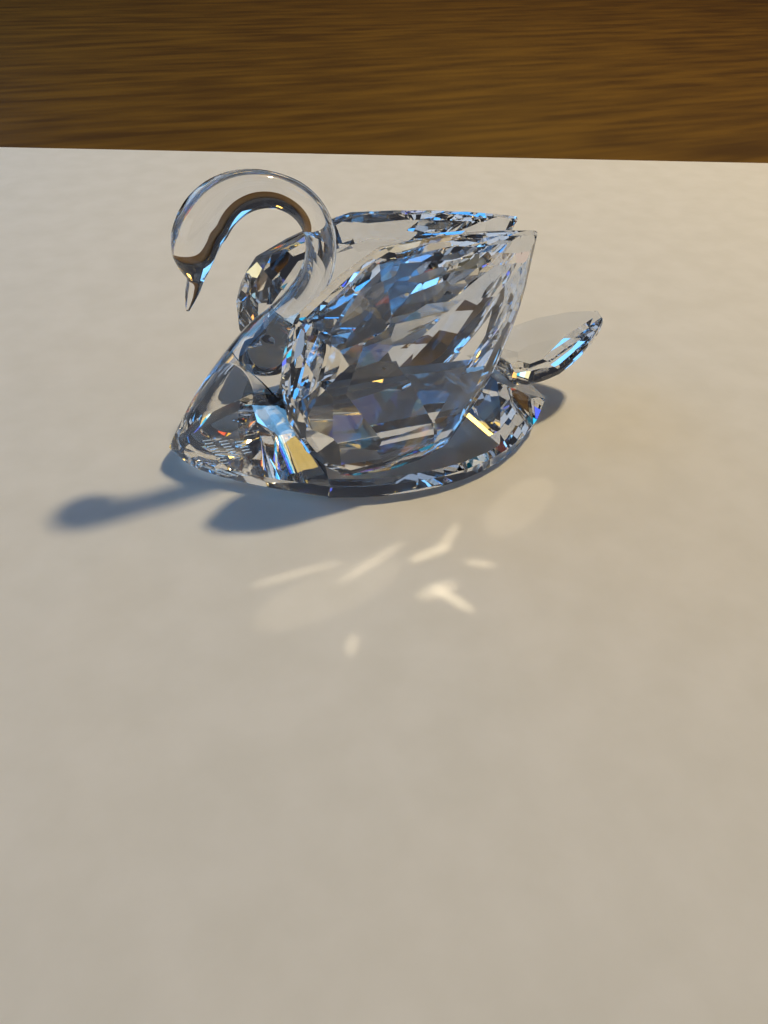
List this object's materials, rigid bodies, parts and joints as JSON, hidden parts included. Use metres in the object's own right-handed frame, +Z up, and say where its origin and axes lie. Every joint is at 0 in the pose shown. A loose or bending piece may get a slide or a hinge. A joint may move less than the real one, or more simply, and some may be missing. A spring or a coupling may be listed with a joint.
{
  "type": "crystal swan figurine",
  "caption": "Swan figurine of clear cut crystal: smooth curved neck and breast, faceted almond-shaped body, two upright faceted wings and an upturned leaf-shaped tail.",
  "frame": {"origin": "under the middle of the whole swan, on the table", "axes": "+Z up, the head toward -X, the swan's left side toward -Y"},
  "size_m": [0.09, 0.0488, 0.0501],
  "materials": {
    "smooth_crystal": "fire-polished clear crystal",
    "cut_crystal": "cut and polished clear crystal"
  },
  "bodies": {
    "root": {"neck": "smooth_crystal", "body": "cut_crystal", "wing_left": "cut_crystal", "wing_right": "cut_crystal", "tail": "cut_crystal"}
  },
  "joints": []
}
